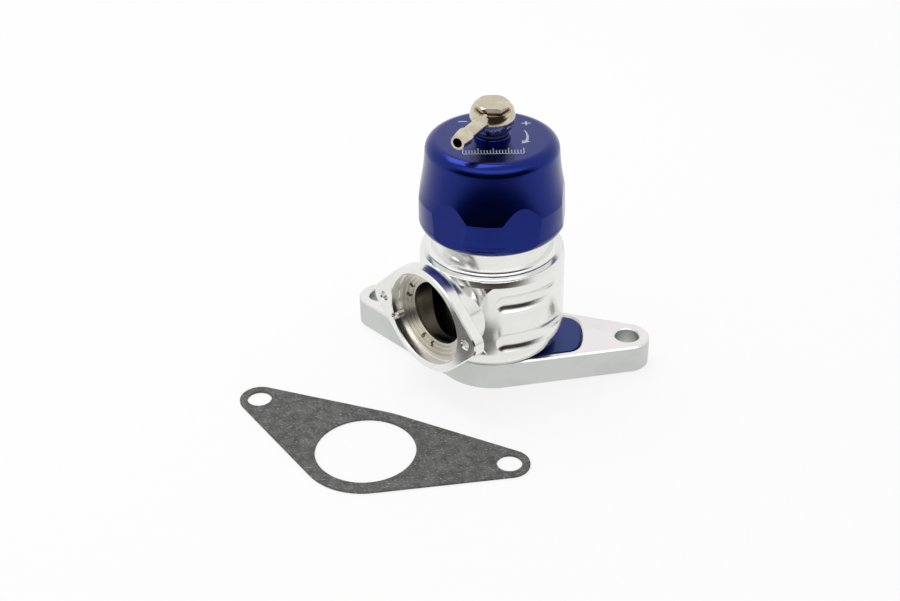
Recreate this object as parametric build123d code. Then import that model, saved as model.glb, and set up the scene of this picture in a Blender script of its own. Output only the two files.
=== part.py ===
from build123d import *
import os
from math import cos, degrees, hypot, radians, sin

os.makedirs("parts", exist_ok=True)

# A blow-off valve on a two-bolt base flange, with its flange gasket lying on the ground in front of it.
# Millimetres. +Z is up and the origin is on the valve's axis, in the underside of the base flange.
# The two base bolt holes lie along X, set back behind the axis. Angles are counted from +X, seen from above.

# Base flange
bolt_spacing = 94.0
bolt_setback = 11.8
bolt_hole_r = 4.25
flange_thickness = 10.7
flange_hub_wall = 2.3
flange_tip_r = 8.0
flange_edge_chamfer = 0.5
hole_edge_chamfer = 0.4
base_web = 4.0

# Half plates that hold the valve body down in the base flange
plate_thickness = 2.8
plate_recess = 0.1
plate_reach_r = 31.7
plate_inset = 3.2
plate_corner_r = 5.0
plate_split = 11.0
plate_side_gap = 0.12
pocket_chamfer = 1.1
plate_screw_radius = 25.4
plate_screw_offset = 5.6
plate_screw_spread = 4.0
plate_screw_r = 1.5
plate_screw_head_r = 2.9
plate_screw_head_angle = 90.0
plate_screw_key_r = 0.9
plate_screw_key_depth = 0.85
plate_screw_end_gap = 0.3
screw_gap = 0.1

# Foot of the valve body, seated in the base flange
body_inlet_r = 14.5
foot_wall = 2.0
foot_lip_width = 1.5
foot_gap = 0.1
inlet_step = 0.5

# Valve body
body_r = 25.29
body_height = 36.7
body_taper_height = 2.4
body_taper = 0.45
shoulder_round = 0.4
neck_r = 21.08
neck_wall = 3.58
neck_height = 18.6
neck_foot_round = 1.6
neck_top_chamfer = 0.8
seat_height = 10.0
seat_edge_chamfer = 0.6
chamber_share = 0.48
chamber_height = 29.5

# Face ring between the foot and the base flange
base_ring_offset = 1.7
base_ring_section_r = 0.65
ring_gap = 0.05

# Shallow finger grooves milled in the body's side
groove_depth = 1.3
upper_groove_z = 38.5
upper_groove_width = 6.8
lower_groove_z = 22.75
lower_groove_width = 7.5
groove_start_angle = -71.0
groove_bend_angle = -44.0
groove_exit_shift = 6.0
groove_exit_sweep = 52.0

# Side outlet
outlet_angle = -119.5
outlet_reach = 7.29
outlet_z = 30.82
outlet_flange_r = 19.6
outlet_tip_r = 5.0
outlet_bolt_spacing = 41.6
outlet_flange_thickness = 4.5
outlet_edge_chamfer = 0.45
outlet_hole_r = 1.65
outlet_hole_chamfer = 0.35
outlet_neck_wall = 1.45
outlet_neck_cove = 1.6
outlet_relief_depth = 4.65
outlet_relief_flat_r = 13.0
outlet_relief_round = 17.5
outlet_socket_r = 16.75
outlet_socket_depth = 3.7
outlet_r = 11.5
outlet_mouth_chamfer = 0.3

# Stepped ring in the outlet's socket, with its lock pin
ring_lip_r = 16.4
ring_lip_thickness = 1.6
ring_hub_r = 15.0
ring_thickness = 3.7
ring_step_count = 4
ring_step_drop = 0.85
ring_side_gap = 0.05
spanner_hole_r = 0.75
spanner_hole_place = 1.84
spanner_hole_depth = 3.7
spanner_hole_spread = 10.0
spanner_hole_angle = 72.0
spanner_hole_pairs = 4
ring_pin_r = 1.25
ring_pin_angle = 291.4
ring_pin_start = 0.9
pin_gap = 0.05

# Piston with its seal
piston_gap = 0.08
piston_length = 37.0
piston_wall = 2.2
piston_floor = 3.0
piston_boss_r = 6.5
piston_boss_height = 6.0
piston_edge_chamfer = 0.5
piston_ring_depth = 1.4
piston_ring_height = 1.8
piston_ring_first = 4.0
piston_ring_pitch = 4.2
seal_thickness = 2.0
seal_overlap = 1.9
retainer_gap = 0.9
retainer_thickness = 2.6
retainer_chamfer = 0.8
seal_screw_r = 2.5
seal_screw_head_r = 4.8
seal_screw_head_angle = 90.0
seal_screw_length = 11.0
seal_screw_key_r = 1.5
seal_screw_key_depth = 1.8

# Spring and the seat that the cap pushes down
spring_wire_r = 1.3
spring_side_gap = 2.02
spring_turns = 8
spring_end_gap = 0.1
spring_seat_thickness = 3.0
spring_spigot_gap = 1.0
spring_spigot_height = 3.5
spring_seat_hole_r = 4.0
seat_side_gap = 0.3
thrust_washer_thickness = 1.0
thrust_washer_inset = 2.7

# Adjusting cap, screwed down over the body's neck
cap_lift_gap = 8.6
cap_height = 33.0
cap_wall = 4.22
cap_tuck = 3.2
cap_tuck_height = 4.7
cap_band_height = 12.6
cap_crown_inset = 2.6
cap_crown_round = 4.13
cap_flare_sag = 0.45
cap_flat_depth = 1.03
cap_flat_draft = 2.0
cap_flat_angle = 10.6
cap_flat_count = 6
cap_thread_gap = 0.06
cap_thread_height = 17.0
cap_roof = 4.5
cap_inner_step = 2.08
cap_ring_groove_depth = 1.5
cap_ring_groove_height = 1.9
cap_ring_drop = 2.2
cap_ring_round = 0.4

# Boss on the cap, where the hose union is clamped
boss_r = 6.2
boss_height = 1.5
stem_r = 5.2
stem_height = 0.5
boss_edge_round = 0.5
union_bolt_r = 3.0
union_bolt_gap = 0.05

# Hose union, from the stem upwards
lower_washer_r = 5.6
lower_washer_thickness = 0.5
union_ball_r = 7.6
union_ball_height = 5.15
union_ring_height = 8.1
union_gallery_place = 5.95
union_face_gap = 0.05
union_gallery_r = 4.6
union_gallery_height = 1.8
upper_washer_r = 5.3
upper_washer_thickness = 0.5
bolt_head_corner_r = 6.15
bolt_head_height = 1.5
bolt_head_flat_angle = -76.6
bolt_head_top_r = 5.6
bolt_length = 15.0
bolt_bore_r = 1.2
bolt_cross_r = 0.9

# Hose barb
barb_angle = -101.0
barb_tip = 24.0
barb_shank_r = 2.35
barb_ridge_r = 2.95
barb_ridge_length = 5.4
barb_ridge_land = 0.8
barb_tip_r = 2.4
barb_bore_r = 1.65
barb_root_r = 2.5
barb_root_length = 2.2
washer_room_gap = 0.5

# Flange gasket on the ground
gasket_x = -24.53
gasket_y = -65.51
gasket_turn = -5.34
gasket_thickness = 0.8
gasket_port_r = 17.0
gasket_arc_r = 21.7
gasket_tip_r = 6.9

# Radii worked out from the sizes above
inlet_r = body_inlet_r + inlet_step
foot_groove_r = body_inlet_r + foot_wall
foot_lip_r = foot_groove_r + foot_lip_width
base_ring_centre_r = body_inlet_r + base_ring_offset
flange_hub_r = foot_lip_r + foot_gap + flange_hub_wall
body_round_r = body_r - foot_lip_r
chamber_r = foot_lip_r + chamber_share * body_round_r
guide_r = neck_r - neck_wall
piston_r = guide_r - piston_gap
seal_r = body_inlet_r + seal_overlap
retainer_r = body_inlet_r - retainer_gap
spring_mean_r = piston_r - piston_wall - spring_side_gap - spring_wire_r
spring_spigot_r = spring_mean_r - spring_wire_r - spring_spigot_gap
outlet_face = body_r + outlet_reach
outlet_neck_r = ring_hub_r + ring_side_gap + outlet_neck_wall
cap_r = neck_r + cap_wall
cap_crown_r = cap_r - cap_crown_inset
cap_flat_distance = cap_r - cap_flat_depth
cap_bore_r = neck_r + cap_thread_gap
cap_inner_r = neck_r - cap_inner_step
spring_seat_r = cap_inner_r - seat_side_gap
thrust_washer_r = spring_seat_r - thrust_washer_inset

# Heights worked out from the sizes above
pocket_z = flange_thickness - plate_thickness - plate_recess
foot_lip_top = pocket_z - foot_gap
body_round_z = flange_thickness + body_round_r
shoulder_z = flange_thickness + body_height
body_taper_z = shoulder_z - body_taper_height
neck_top_z = shoulder_z + neck_height
seat_z = base_web + seat_height
chamber_top_z = seat_z + chamber_height
cap_bottom_z = shoulder_z + cap_lift_gap
cap_top_z = cap_bottom_z + cap_height
roof_z = cap_top_z - cap_roof
piston_bottom_z = seat_z + seal_thickness
piston_top_z = piston_bottom_z + piston_length
spring_bottom_z = piston_bottom_z + piston_floor
spring_seat_z = roof_z - thrust_washer_thickness - spring_seat_thickness
stem_top_z = cap_top_z + boss_height + stem_height
union_z = stem_top_z + lower_washer_thickness + union_face_gap
union_top_z = union_z + union_ring_height
union_gallery_z = union_z + union_gallery_place
upper_washer_z = union_top_z + union_face_gap
bolt_head_z = upper_washer_z + upper_washer_thickness


def turned(points):
    """A solid of revolution from an outline of straight lines, each point as (radius, height)."""
    outline = Polyline(*[(r, 0, z) for r, z in points], close=True)
    return revolve(make_face(outline), Axis.Z)


def tube(outer_r, inner_r, bottom, top):
    """A plain ring or tube standing on the axis."""
    return turned([(inner_r, bottom), (outer_r, bottom), (outer_r, top), (inner_r, top)])


def rod(radius, bottom, top, x=0.0, y=0.0):
    """A plain upright cylinder."""
    return Pos(x, y, bottom) * extrude(Circle(radius), top - bottom)


def around(angle):
    """A turn about the valve's axis."""
    return Rot(0, 0, angle)


def two_bolt_outline(hub_r, tip_r, spacing, setback):
    """The straight-sided outline that wraps a round hub and two smaller round tips."""
    hub = Circle(hub_r)
    tips = [Pos(side * spacing / 2, setback) * Circle(tip_r) for side in (-1, 1)]
    return make_hull(hub.edges() + tips[0].edges() + tips[1].edges())


def bolt_places():
    """Centres of the two base bolt holes."""
    return [(side * bolt_spacing / 2, bolt_setback) for side in (-1, 1)]


def plate_outline(inset, reach):
    """Outline shared by the half plates and their pocket: the flange's own outline, set in, and cut round."""
    shape = two_bolt_outline(flange_hub_r - inset, flange_tip_r - inset, bolt_spacing, bolt_setback)
    return shape & Circle(reach)


def half(side):
    """One half of the plan, left or right of the axis."""
    width = bolt_spacing
    return Pos(side * (plate_split + width) / 2, 0) * Rectangle(width, 2 * width)


def wing_outline(grown):
    """Outline of both half plates and their pocket: the flange's own outline set in, cut round, rounded.

    The outline is larger by the given amount than the plates' own."""
    reach = plate_reach_r + grown
    face = plate_outline(plate_inset - grown, reach)
    corners = [v for v in face.vertices() if abs(hypot(v.X, v.Y) - reach) < 0.001]
    return fillet(corners, plate_corner_r + grown)


def plate_screw_places(side):
    """Centres of the two screws of one half plate."""
    spread = (-plate_screw_spread, plate_screw_spread)
    return [(side * plate_screw_radius, plate_screw_offset + along) for along in spread]


def base_flange():
    outline = two_bolt_outline(flange_hub_r, flange_tip_r, bolt_spacing, bolt_setback)
    body = extrude(outline, flange_thickness)
    rims = body.faces().sort_by(Axis.Z)
    body = chamfer(rims[-1].edges() + rims[0].edges(), flange_edge_chamfer)
    body -= rod(inlet_r, -1, base_web + 1)
    body -= rod(foot_lip_r + foot_gap, base_web, flange_thickness + 1)
    pocket = wing_outline(plate_side_gap)
    body -= Pos(0, 0, pocket_z) * extrude(pocket, flange_thickness)
    flare = wing_outline(plate_side_gap + pocket_chamfer)
    low = Pos(0, 0, flange_thickness - pocket_chamfer) * pocket
    body -= loft([low, Pos(0, 0, flange_thickness) * flare])
    for x, y in bolt_places():
        body -= rod(bolt_hole_r, -1, flange_thickness + 1, x, y)
        for z, outward in ((0, 1), (flange_thickness, -1)):
            cone = Cone(bolt_hole_r + 2 * hole_edge_chamfer, bolt_hole_r, 2 * hole_edge_chamfer)
            body -= Pos(x, y, z) * (cone if outward > 0 else Rot(180, 0, 0) * cone)
    for side in (-1, 1):
        for x, y in plate_screw_places(side):
            body -= screw_hole(x, y)
    return body


def screw_head_depth(head_r, shank_r, angle):
    """Depth of a countersunk head."""
    return (head_r - shank_r) / (sin(radians(angle / 2)) / cos(radians(angle / 2)))


def screw_hole(x, y):
    """Countersunk hole from below for a half plate's screw."""
    depth = screw_head_depth(plate_screw_head_r, plate_screw_r, plate_screw_head_angle)
    hole = rod(plate_screw_r + screw_gap, -1, pocket_z + 1)
    head = turned([(0, 0), (plate_screw_head_r + screw_gap, 0), (plate_screw_r + screw_gap, depth),
                   (0, depth)])
    return Pos(x, y, 0) * (hole + head)


def plate_screws():
    """Four countersunk screws that hold the half plates from below."""
    depth = screw_head_depth(plate_screw_head_r, plate_screw_r, plate_screw_head_angle)
    top = pocket_z + plate_thickness - plate_screw_end_gap
    screw = turned([(0, 0), (plate_screw_head_r, 0), (plate_screw_r, depth), (plate_screw_r, top), (0, top)])
    screw -= extrude(RegularPolygon(plate_screw_key_r, 6), plate_screw_key_depth)
    places = [place for side in (-1, 1) for place in plate_screw_places(side)]
    return Compound(children=[Pos(x, y, 0) * screw for x, y in places])


def retaining_plate(side):
    """One half plate: it lies in the pocket and its round inner edge reaches over the foot's lip."""
    outline = wing_outline(0)
    outline -= Circle(foot_groove_r + foot_gap)
    outline &= half(side)
    plate = extrude(outline, plate_thickness)
    for x, y in plate_screw_places(side):
        plate -= rod(plate_screw_r, -1, plate_thickness - plate_recess, x, y)
    return Pos(0, 0, pocket_z) * plate


def body_profile():
    """Outer outline of the valve body, as a face in the XZ plane."""
    foot = flange_thickness
    rim_r = body_r - body_taper
    lip = Polyline((0, 0, base_web), (foot_lip_r, 0, base_web), (foot_lip_r, 0, foot_lip_top),
                   (foot_groove_r, 0, foot_lip_top), (foot_groove_r, 0, foot), (foot_lip_r, 0, foot))
    bulge = body_round_r * sin(radians(45))
    bowl = ThreePointArc((foot_lip_r, 0, foot), (foot_lip_r + bulge, 0, body_round_z - bulge),
                         (body_r, 0, body_round_z))
    side = Line((body_r, 0, body_round_z), (body_r, 0, body_taper_z))
    taper = Line((body_r, 0, body_taper_z), (rim_r, 0, shoulder_z - shoulder_round))
    bend = shoulder_round * (1 - cos(radians(45)))
    rim = ThreePointArc((rim_r, 0, shoulder_z - shoulder_round), (rim_r - bend, 0, shoulder_z - bend),
                        (rim_r - shoulder_round, 0, shoulder_z))
    step = Line((rim_r - shoulder_round, 0, shoulder_z), (neck_r + neck_foot_round, 0, shoulder_z))
    cove = neck_foot_round * (1 - cos(radians(45)))
    foot_arc = ThreePointArc((neck_r + neck_foot_round, 0, shoulder_z), (neck_r + cove, 0, shoulder_z + cove),
                             (neck_r, 0, shoulder_z + neck_foot_round))
    top = Polyline((neck_r, 0, shoulder_z + neck_foot_round), (neck_r, 0, neck_top_z - neck_top_chamfer),
                   (neck_r - neck_top_chamfer, 0, neck_top_z), (0, 0, neck_top_z), (0, 0, base_web))
    return make_face(lip.edges() + [bowl, side, taper, rim, step, foot_arc] + top.edges())


def outlet_frame():
    """Turns and places a shape drawn around Z so that its Z runs out of the side outlet."""
    return around(outlet_angle) * Pos(0, 0, outlet_z) * Rot(0, 90, 0)


def outlet_neck():
    """Round neck of the outlet, with a cove where it meets the back of its flange."""
    back = outlet_face - outlet_flange_thickness
    start = back - outlet_neck_cove
    reach = outlet_neck_r + outlet_neck_cove
    bend = outlet_neck_cove * (1 - cos(radians(45)))
    side = Polyline((reach, 0, back), (0, 0, back), (0, 0, 0), (outlet_neck_r, 0, 0),
                    (outlet_neck_r, 0, start))
    cove = ThreePointArc((outlet_neck_r, 0, start), (outlet_neck_r + bend, 0, back - bend), (reach, 0, back))
    return revolve(make_face(side.edges() + [cove]), Axis.Z)


def outlet_relief():
    """Shallow domed relief in the body's straight side around the outlet's neck."""
    floor = body_r - outlet_relief_depth
    edge_r = outlet_relief_flat_r + outlet_relief_round
    bulge = outlet_relief_round * sin(radians(45))
    dome = ThreePointArc((outlet_relief_flat_r, 0, floor),
                         (outlet_relief_flat_r + bulge, 0, floor - outlet_relief_round + bulge),
                         (edge_r, 0, floor - outlet_relief_round))
    rest = Polyline((edge_r, 0, floor - outlet_relief_round), (edge_r, 0, outlet_face), (0, 0, outlet_face),
                    (0, 0, floor), (outlet_relief_flat_r, 0, floor))
    cutter = outlet_frame() * revolve(make_face([dome] + rest.edges()), Axis.Z)
    return cutter & rod(2 * body_r, body_round_z, body_taper_z)


def outlet_flange_outline():
    """Outline of the outlet's flange, its two tips level with the axis."""
    return Rot(0, 0, 90) * two_bolt_outline(outlet_flange_r, outlet_tip_r, outlet_bolt_spacing, 0)


def outlet_bolt_places():
    return [(0, side * outlet_bolt_spacing / 2) for side in (-1, 1)]


def finger_groove(height, width):
    """A shallow groove with a full round start that follows the body and then runs out of its side."""
    ball_r = (width ** 2 / 4 + groove_depth ** 2) / (2 * groove_depth)
    path_r = body_r - groove_depth + ball_r
    start = groove_start_angle + degrees(width / 2 / body_r)
    section = Pos(path_r, 0, height) * Rot(90, 0, 0) * Circle(ball_r)
    follow = around(start) * revolve(section, Axis.Z, revolution_arc=groove_bend_angle - start)
    ball = around(start) * Pos(path_r, 0, height) * Sphere(ball_r)
    leave = revolve(Pos(groove_exit_shift, 0, 0) * section, Axis.Z, revolution_arc=groove_exit_sweep)
    leave = around(groove_bend_angle) * Pos(-groove_exit_shift, 0, 0) * leave
    return [ball, follow, leave]


def mirrored_about_outlet(shape):
    """The same shape on the other side of the outlet."""
    across = Plane((0, 0, 0), z_dir=Vector(-sin(radians(outlet_angle)), cos(radians(outlet_angle)), 0))
    return mirror(shape, about=across)


def ring_pin_place():
    """Centre of the lock pin, on the wall of the outlet's socket; its angle counts from straight down."""
    turn = radians(ring_pin_angle)
    return outlet_socket_r * cos(turn), outlet_socket_r * sin(turn)


def valve_body():
    body = revolve(body_profile(), Axis.Z)
    frame = outlet_frame()
    body -= outlet_relief()
    body += frame * outlet_neck()
    back = outlet_face - outlet_flange_thickness
    plate = Pos(0, 0, back) * extrude(outlet_flange_outline(), outlet_flange_thickness)
    rims = plate.faces().sort_by(Axis.Z)
    plate = chamfer(rims[-1].edges() + rims[0].edges(), outlet_edge_chamfer)
    body += frame * plate
    for height, width in ((upper_groove_z, upper_groove_width), (lower_groove_z, lower_groove_width)):
        for cutter in finger_groove(height, width):
            body -= cutter
            body -= mirrored_about_outlet(cutter)
    body -= rod(body_inlet_r, 0, seat_z + 1)
    body -= rod(chamber_r, seat_z, chamber_top_z)
    body -= Pos(0, 0, seat_z) * turned([(0, -seat_edge_chamfer), (body_inlet_r, -seat_edge_chamfer),
                                        (body_inlet_r + seat_edge_chamfer, 0), (0, 0)])
    body -= rod(guide_r, seat_z, neck_top_z + 1)
    body -= face_ring_groove()
    body -= cap_ring_groove()
    body -= frame * rod(outlet_r, guide_r / 2, outlet_face + 1)
    front = outlet_face - outlet_socket_depth
    body -= frame * rod(outlet_socket_r, front, outlet_face + 1)
    body -= frame * rod(ring_lip_r + ring_side_gap, front - ring_lip_thickness, outlet_face)
    body -= frame * rod(ring_hub_r + ring_side_gap, front - ring_thickness, front)
    body -= frame * turned([(0, outlet_face - outlet_mouth_chamfer),
                            (outlet_socket_r, outlet_face - outlet_mouth_chamfer),
                            (outlet_socket_r + outlet_mouth_chamfer, outlet_face), (0, outlet_face)])
    pin_x, pin_y = ring_pin_place()
    pin_bottom = front - ring_lip_thickness
    body -= frame * rod(ring_pin_r + pin_gap, pin_bottom, outlet_face + 1, pin_x, pin_y)
    for x, y in outlet_bolt_places():
        body -= frame * rod(outlet_hole_r, back - 1, outlet_face + 1, x, y)
        sink = Pos(x, y, outlet_face - outlet_hole_chamfer / 2) * Cone(
            outlet_hole_r, outlet_hole_r + outlet_hole_chamfer, outlet_hole_chamfer)
        body -= frame * sink
    return body


def face_ring_groove():
    """Groove in the underside of the foot for the face ring."""
    half_width = base_ring_section_r + ring_gap
    top = base_web + 2 * base_ring_section_r + ring_gap
    return tube(base_ring_centre_r + half_width, base_ring_centre_r - half_width, base_web - 1, top)


def cap_ring_groove():
    """Groove near the top of the neck for the ring that seals the cap."""
    top = neck_top_z - cap_ring_drop
    return tube(neck_r + 1, neck_r - cap_ring_groove_depth, top - cap_ring_groove_height, top)


def base_o_ring():
    place = Pos(base_ring_centre_r, 0, base_web + base_ring_section_r) * Rot(90, 0, 0)
    return revolve(place * Circle(base_ring_section_r), Axis.Z)


def cap_o_ring():
    """A rounded square ring in the neck's groove, just clear of the cap's bore."""
    top = neck_top_z - cap_ring_drop
    ring = tube(neck_r + cap_thread_gap / 2, neck_r - cap_ring_groove_depth + ring_gap,
                top - cap_ring_groove_height + ring_gap, top - ring_gap)
    return fillet(ring.edges(), cap_ring_round)


def outlet_ring():
    """Stepped ring in the outlet's socket, with holes for a pin spanner."""
    front = outlet_face - outlet_socket_depth
    back = front - ring_thickness
    outer = ring_lip_r
    step = (outer - outlet_r) / ring_step_count
    points = [(outlet_r, back), (ring_hub_r, back), (ring_hub_r, front - ring_lip_thickness),
              (outer, front - ring_lip_thickness)]
    for i in range(ring_step_count):
        level = front - i * ring_step_drop
        points += [(outer - i * step, level), (outer - (i + 1) * step, level)]
    ring = turned(points)
    hole_circle = outlet_r + spanner_hole_place
    for i in range(spanner_hole_pairs):
        for along in (-spanner_hole_spread, spanner_hole_spread):
            turn = radians(spanner_hole_angle + i * 360 / spanner_hole_pairs + along)
            ring -= rod(spanner_hole_r, front - spanner_hole_depth, front + 1,
                        hole_circle * cos(turn), hole_circle * sin(turn))
    pin_x, pin_y = ring_pin_place()
    pin_bottom = front - ring_lip_thickness
    ring -= rod(ring_pin_r + pin_gap, pin_bottom, outlet_face, pin_x, pin_y)
    return outlet_frame() * ring


def outlet_ring_pin():
    """Small pin half in the socket's wall and half in the ring, which keeps the ring from turning."""
    pin_x, pin_y = ring_pin_place()
    top = outlet_face - ring_pin_start
    bottom = outlet_face - outlet_socket_depth - ring_lip_thickness
    pin = rod(ring_pin_r, bottom, top, pin_x, pin_y)
    pin = fillet(pin.edges().sort_by(Axis.Z)[-1], ring_pin_r / 2)
    return outlet_frame() * pin


def piston():
    """Open cup that slides in the guide, with a boss in its floor for the seal's screw."""
    inner = piston_r - piston_wall
    floor_z = spring_bottom_z
    boss_z = floor_z + piston_boss_height
    cup = turned([(0, piston_bottom_z), (piston_r - piston_edge_chamfer, piston_bottom_z),
                  (piston_r, piston_bottom_z + piston_edge_chamfer),
                  (piston_r, piston_top_z - piston_edge_chamfer),
                  (piston_r - piston_edge_chamfer, piston_top_z), (inner, piston_top_z), (inner, floor_z),
                  (piston_boss_r, floor_z), (piston_boss_r, boss_z), (0, boss_z)])
    for z in piston_ring_levels():
        cup -= tube(piston_r + 1, piston_r - piston_ring_depth, z, z + piston_ring_height)
    top = seat_z - retainer_thickness + seal_screw_length
    cup -= rod(seal_screw_r + screw_gap / 2, piston_bottom_z - 1, top + 1)
    return cup


def piston_ring_levels():
    """Lower edge of each piston ring, counted down from the piston's top."""
    first = piston_top_z - piston_ring_first
    return [first - i * piston_ring_pitch for i in range(2)]


def piston_rings():
    """Two sealing rings in the piston's grooves."""
    outer = guide_r - ring_gap / 2
    inner = piston_r - piston_ring_depth + ring_gap
    thickness = piston_ring_height - 2 * ring_gap
    rings = [tube(outer, inner, z + ring_gap, z + ring_gap + thickness) for z in piston_ring_levels()]
    return Compound(children=rings)


def valve_seal():
    """Flat rubber disc that closes on the seat."""
    return tube(seal_r, seal_screw_r + screw_gap, seat_z, piston_bottom_z)


def seal_retainer():
    """Disc below the seal, clear of the inlet's bore, with a sunk hole for the screw's head."""
    bottom = seat_z - retainer_thickness
    depth = screw_head_depth(seal_screw_head_r, seal_screw_r, seal_screw_head_angle)
    disc = turned([(0, bottom), (retainer_r - retainer_chamfer, bottom),
                   (retainer_r, bottom + retainer_chamfer), (retainer_r, seat_z), (0, seat_z)])
    disc -= rod(seal_screw_r + screw_gap, bottom - 1, seat_z + 1)
    disc -= turned([(0, bottom), (seal_screw_head_r + screw_gap, bottom),
                    (seal_screw_r + screw_gap, bottom + depth), (0, bottom + depth)])
    return disc


def seal_screw():
    """Countersunk screw that holds retainer and seal to the piston."""
    bottom = seat_z - retainer_thickness
    depth = screw_head_depth(seal_screw_head_r, seal_screw_r, seal_screw_head_angle)
    top = bottom + seal_screw_length
    screw = turned([(0, bottom), (seal_screw_head_r, bottom), (seal_screw_r, bottom + depth),
                    (seal_screw_r, top), (0, top)])
    return screw - Pos(0, 0, bottom) * extrude(RegularPolygon(seal_screw_key_r, 6), seal_screw_key_depth)


def main_spring():
    """Compression spring between the piston's floor and the spring seat."""
    bottom = spring_bottom_z + spring_wire_r + spring_end_gap
    top = spring_seat_z - spring_wire_r - spring_end_gap
    height = top - bottom
    path = Helix(pitch=height / spring_turns, height=height, radius=spring_mean_r)
    wire = sweep(Plane(path @ 0, z_dir=path % 0) * Circle(spring_wire_r), path=path, is_frenet=True)
    return Pos(0, 0, bottom) * wire


def spring_seat():
    """Seat with a spigot that centres the top of the spring; it rides inside the cap."""
    bottom = spring_seat_z
    top = bottom + spring_seat_thickness
    low = bottom - spring_spigot_height
    return turned([(spring_seat_hole_r, low), (spring_spigot_r, low), (spring_spigot_r, bottom),
                   (spring_seat_r, bottom), (spring_seat_r, top), (spring_seat_hole_r, top)])


def thrust_washer():
    """Low-friction washer on which the cap turns."""
    bottom = spring_seat_z + spring_seat_thickness
    return tube(thrust_washer_r, spring_seat_hole_r, bottom, bottom + thrust_washer_thickness)


def cap_profile():
    """Outer outline of the cap without its boss, as a face in the XZ plane."""
    band_z = cap_bottom_z + cap_band_height
    crown_z = cap_top_z - cap_crown_round
    tuck_r = cap_r - cap_tuck
    tuck_z = cap_bottom_z + cap_tuck_height
    half_turn = radians(45)
    tuck = ThreePointArc((tuck_r, 0, cap_bottom_z),
                         (tuck_r + cap_tuck * sin(half_turn), 0, tuck_z - cap_tuck_height * cos(half_turn)),
                         (cap_r, 0, tuck_z))
    band = Line((cap_r, 0, tuck_z), (cap_r, 0, band_z))
    middle = ((cap_r + cap_crown_r) / 2 - cap_flare_sag, 0, (band_z + crown_z) / 2)
    flare = ThreePointArc((cap_r, 0, band_z), middle, (cap_crown_r, 0, crown_z))
    flat_r = cap_crown_r - cap_crown_round
    crown = ThreePointArc((cap_crown_r, 0, crown_z),
                          (flat_r + cap_crown_round * sin(half_turn), 0,
                           crown_z + cap_crown_round * cos(half_turn)),
                          (flat_r, 0, cap_top_z))
    close = Polyline((flat_r, 0, cap_top_z), (0, 0, cap_top_z), (0, 0, cap_bottom_z),
                     (tuck_r, 0, cap_bottom_z))
    return make_face([tuck, band, flare, crown] + close.edges())


def cap():
    shell = revolve(cap_profile(), Axis.Z)
    foot_distance = cap_flat_distance + cap_band_height * sin(radians(cap_flat_draft))
    outline = RegularPolygon(foot_distance, cap_flat_count, major_radius=False)
    prism = extrude(outline, cap_height, taper=cap_flat_draft)
    half_side = 180 / cap_flat_count
    shell &= Pos(0, 0, cap_bottom_z) * around(cap_flat_angle + half_side) * prism
    boss = rod(boss_r, cap_top_z, cap_top_z + boss_height)
    boss = fillet(boss.edges().sort_by(Axis.Z)[-1], boss_edge_round)
    shell += boss
    shell += rod(stem_r, cap_top_z, stem_top_z)
    shell -= rod(cap_bore_r, cap_bottom_z - 1, cap_bottom_z + cap_thread_height)
    shell -= rod(cap_inner_r, cap_bottom_z, roof_z)
    shell -= rod(union_bolt_r + union_bolt_gap, roof_z - 1, stem_top_z + 1)
    return shell


def banjo_washer_lower():
    hole_r = union_bolt_r + union_bolt_gap
    return tube(lower_washer_r, hole_r, stem_top_z, stem_top_z + lower_washer_thickness)


def banjo_washer_upper():
    return tube(upper_washer_r, union_bolt_r + union_bolt_gap, upper_washer_z, bolt_head_z)


def banjo_bolt():
    """Hollow hexagon bolt that clamps the union and lets air through to the cap."""
    top = bolt_head_z + bolt_head_height
    across = bolt_head_corner_r * cos(radians(30))
    head = extrude(RegularPolygon(bolt_head_corner_r, 6), bolt_head_height)
    head = around(bolt_head_flat_angle + 30) * Pos(0, 0, bolt_head_z) * head
    slope = (bolt_head_corner_r - bolt_head_top_r) * cos(radians(60)) / sin(radians(60))
    head &= turned([(0, bolt_head_z), (bolt_head_corner_r, bolt_head_z), (bolt_head_corner_r, top - slope),
                    (bolt_head_top_r, top), (0, top)])
    bottom = bolt_head_z - bolt_length
    bolt = head + rod(union_bolt_r, bottom, bolt_head_z)
    bolt -= rod(bolt_bore_r, bottom - 1, union_gallery_z + bolt_cross_r)
    bolt -= Pos(0, 0, union_gallery_z) * Rot(0, 90, 0) * Cylinder(bolt_cross_r, 2 * across)
    return bolt


def banjo_fitting():
    """Ball-shaped ring of the hose union with its barb; it swivels about the bolt."""
    ring = Pos(0, 0, union_z + union_ball_height) * Sphere(union_ball_r)
    ring &= rod(union_ball_r, union_z, union_top_z)
    ridge = barb_tip - barb_ridge_length
    barb = turned([(0, 0), (barb_root_r, 0), (barb_root_r, union_ball_r),
                   (barb_shank_r, union_ball_r + barb_root_length), (barb_shank_r, ridge),
                   (barb_ridge_r, ridge), (barb_ridge_r, ridge + barb_ridge_land), (barb_tip_r, barb_tip),
                   (0, barb_tip)])
    outward = around(barb_angle) * Pos(0, 0, union_gallery_z) * Rot(0, 90, 0)
    barb = outward * barb
    barb -= rod(upper_washer_r + washer_room_gap, union_top_z, union_top_z + barb_root_r)
    ring += barb
    ring -= outward * rod(barb_bore_r, 0, barb_tip + 1)
    half_height = union_gallery_height / 2
    ring -= rod(union_gallery_r, union_gallery_z - half_height, union_gallery_z + half_height)
    ring -= rod(union_bolt_r + union_bolt_gap, union_z - 1, union_top_z + 1)
    return ring


def flange_gasket():
    """Thin fibre gasket with the base flange's bolt pattern, lying loose on the ground."""
    outline = two_bolt_outline(gasket_arc_r, gasket_tip_r, bolt_spacing, bolt_setback)
    outline -= Circle(gasket_port_r)
    for x, y in bolt_places():
        outline -= Pos(x, y) * Circle(bolt_hole_r)
    return Pos(gasket_x, gasket_y, 0) * around(gasket_turn) * extrude(outline, gasket_thickness)


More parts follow.
